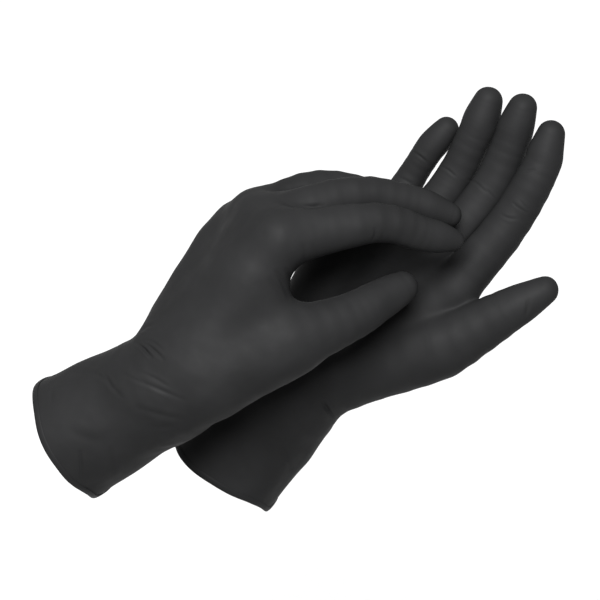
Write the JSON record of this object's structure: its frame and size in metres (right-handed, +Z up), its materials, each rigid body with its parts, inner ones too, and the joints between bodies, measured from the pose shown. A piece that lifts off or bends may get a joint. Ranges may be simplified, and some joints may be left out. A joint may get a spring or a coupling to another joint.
{
  "type": "disposable glove pair",
  "caption": "Pair of black nitrile disposable gloves in worn shape, with rolled cuffs, the left one resting across the palm of the right.",
  "frame": {"origin": "centre of the right glove's wrist, at the fold between cuff and hand", "axes": "+X to the right as the pair is seen, along its longest extent; +Y away from the viewer; +Z up"},
  "size_m": [0.2677, 0.1947, 0.1897],
  "materials": {
    "film": "satin",
    "bead": "satin"
  },
  "bodies": {
    "right_hand": {"right_hand": "film", "right_palm": "film", "right_knuckles": "film", "right_thumb_base": "film"},
    "right_cuff": {"right_cuff": "film", "right_cuff_bead": "bead"},
    "right_thumb_root": {"right_thumb_root": "film"},
    "right_thumb_tip": {"right_thumb_tip": "film"},
    "right_index_root": {"right_index_root": "film"},
    "right_index_tip": {"right_index_tip": "film"},
    "right_middle_root": {"right_middle_root": "film"},
    "right_middle_tip": {"right_middle_tip": "film"},
    "right_ring_root": {"right_ring_root": "film"},
    "right_ring_tip": {"right_ring_tip": "film"},
    "right_little_root": {"right_little_root": "film"},
    "right_little_tip": {"right_little_tip": "film"},
    "left_hand": {"left_hand": "film", "left_palm": "film", "left_knuckles": "film", "left_thumb_base": "film"},
    "left_cuff": {"left_cuff": "film", "left_cuff_bead": "bead"},
    "left_thumb_root": {"left_thumb_root": "film"},
    "left_thumb_tip": {"left_thumb_tip": "film"},
    "left_index_root": {"left_index_root": "film"},
    "left_index_tip": {"left_index_tip": "film"},
    "left_middle_root": {"left_middle_root": "film"},
    "left_middle_tip": {"left_middle_tip": "film"},
    "left_ring_root": {"left_ring_root": "film"},
    "left_ring_tip": {"left_ring_tip": "film"},
    "left_little_root": {"left_little_root": "film"},
    "left_little_tip": {"left_little_tip": "film"}
  },
  "joints": [
    {"name": "left_glove_lift", "type": "slide", "parent": "right_hand", "child": "left_hand", "axis": [0, -0.5, 0.866], "range_m": [0, 0.12]},
    {"name": "right_wrist_fold", "type": "hinge", "parent": "right_hand", "child": "right_cuff", "pos_m": [0, 0, 0], "axis": [0.7279, -0.6567, 0.1975], "range_deg": [-10, 10]},
    {"name": "right_thumb_root_fold", "type": "hinge", "parent": "right_hand", "child": "right_thumb_root", "pos_m": [0.0926, 0.0073, 0.04295], "axis": [-0.4503, 0.7732, 0.4464], "range_deg": [-12, 12]},
    {"name": "right_thumb_joint_fold", "type": "hinge", "parent": "right_thumb_root", "child": "right_thumb_tip", "pos_m": [0.1092, 0.0118, 0.0519], "axis": [-0.4905, 0.7547, 0.4357], "range_deg": [-12, 12]},
    {"name": "right_index_root_fold", "type": "hinge", "parent": "right_hand", "child": "right_index_root", "pos_m": [0.09265, 0.03762, 0.05358], "axis": [0.7279, -0.6567, 0.1975], "range_deg": [-15, 0]},
    {"name": "right_index_joint_fold", "type": "hinge", "parent": "right_index_root", "child": "right_index_tip", "pos_m": [0.1123, 0.057, 0.0687], "axis": [0.7279, -0.6567, 0.1975], "range_deg": [-8, 12]},
    {"name": "right_middle_root_fold", "type": "hinge", "parent": "right_hand", "child": "right_middle_root", "pos_m": [0.07939, 0.05149, 0.05034], "axis": [0.7279, -0.6567, 0.1975], "range_deg": [-15, 0]},
    {"name": "right_middle_joint_fold", "type": "hinge", "parent": "right_middle_root", "child": "right_middle_tip", "pos_m": [0.0993, 0.0724, 0.0649], "axis": [0.7279, -0.6567, 0.1975], "range_deg": [-8, 12]},
    {"name": "right_ring_root_fold", "type": "hinge", "parent": "right_hand", "child": "right_ring_root", "pos_m": [0.06611, 0.06561, 0.04676], "axis": [0.7279, -0.6567, 0.1975], "range_deg": [-15, 0]},
    {"name": "right_ring_joint_fold", "type": "hinge", "parent": "right_ring_root", "child": "right_ring_tip", "pos_m": [0.0804, 0.0822, 0.0578], "axis": [0.7279, -0.6567, 0.1975], "range_deg": [-8, 12]},
    {"name": "right_little_root_fold", "type": "hinge", "parent": "right_hand", "child": "right_little_root", "pos_m": [0.05278, 0.07949, 0.04359], "axis": [0.7279, -0.6567, 0.1975], "range_deg": [-15, 0]},
    {"name": "right_little_joint_fold", "type": "hinge", "parent": "right_little_root", "child": "right_little_tip", "pos_m": [0.0593, 0.0885, 0.0488], "axis": [0.7279, -0.6567, 0.1975], "range_deg": [-8, 12]},
    {"name": "left_wrist_fold", "type": "hinge", "parent": "left_hand", "child": "left_cuff", "pos_m": [-0.0613, -0.0309, 0.0526], "axis": [-0.365, 0.5735, -0.7334], "range_deg": [-10, 10]},
    {"name": "left_thumb_root_fold", "type": "hinge", "parent": "left_hand", "child": "left_thumb_root", "pos_m": [0.01183, -0.01441, 0.07851], "axis": [-0.3683, 0.8051, 0.4648], "range_deg": [-14, 0]},
    {"name": "left_thumb_joint_fold", "type": "hinge", "parent": "left_thumb_root", "child": "left_thumb_tip", "pos_m": [0.0308, -0.0048, 0.0769], "axis": [-0.4923, 0.7538, 0.4352], "range_deg": [-14, 0]},
    {"name": "left_index_root_fold", "type": "hinge", "parent": "left_hand", "child": "left_index_root", "pos_m": [0.00943, 0.02093, 0.11204], "axis": [-0.365, 0.5735, -0.7334], "range_deg": [-18, 0]},
    {"name": "left_index_joint_fold", "type": "hinge", "parent": "left_index_root", "child": "left_index_tip", "pos_m": [0.0414, 0.0298, 0.1084], "axis": [-0.365, 0.5735, -0.7334], "range_deg": [-16, 0]},
    {"name": "left_middle_root_fold", "type": "hinge", "parent": "left_hand", "child": "left_middle_root", "pos_m": [0.00069, 0.03858, 0.10119], "axis": [-0.365, 0.5735, -0.7334], "range_deg": [-18, 0]},
    {"name": "left_middle_joint_fold", "type": "hinge", "parent": "left_middle_root", "child": "left_middle_tip", "pos_m": [0.031, 0.0513, 0.0989], "axis": [-0.365, 0.5735, -0.7334], "range_deg": [-16, 0]},
    {"name": "left_ring_root_fold", "type": "hinge", "parent": "left_hand", "child": "left_ring_root", "pos_m": [-0.00677, 0.05195, 0.08704], "axis": [-0.365, 0.5735, -0.7334], "range_deg": [-18, 0]},
    {"name": "left_ring_joint_fold", "type": "hinge", "parent": "left_ring_root", "child": "left_ring_tip", "pos_m": [0.0152, 0.0639, 0.0842], "axis": [-0.365, 0.5735, -0.7334], "range_deg": [-16, 0]},
    {"name": "left_little_root_fold", "type": "hinge", "parent": "left_hand", "child": "left_little_root", "pos_m": [-0.01112, 0.05607, 0.06791], "axis": [-0.365, 0.5735, -0.7334], "range_deg": [-18, 0]},
    {"name": "left_little_joint_fold", "type": "hinge", "parent": "left_little_root", "child": "left_little_tip", "pos_m": [0.0052, 0.0628, 0.064], "axis": [-0.365, 0.5735, -0.7334], "range_deg": [-16, 0]}
  ]
}
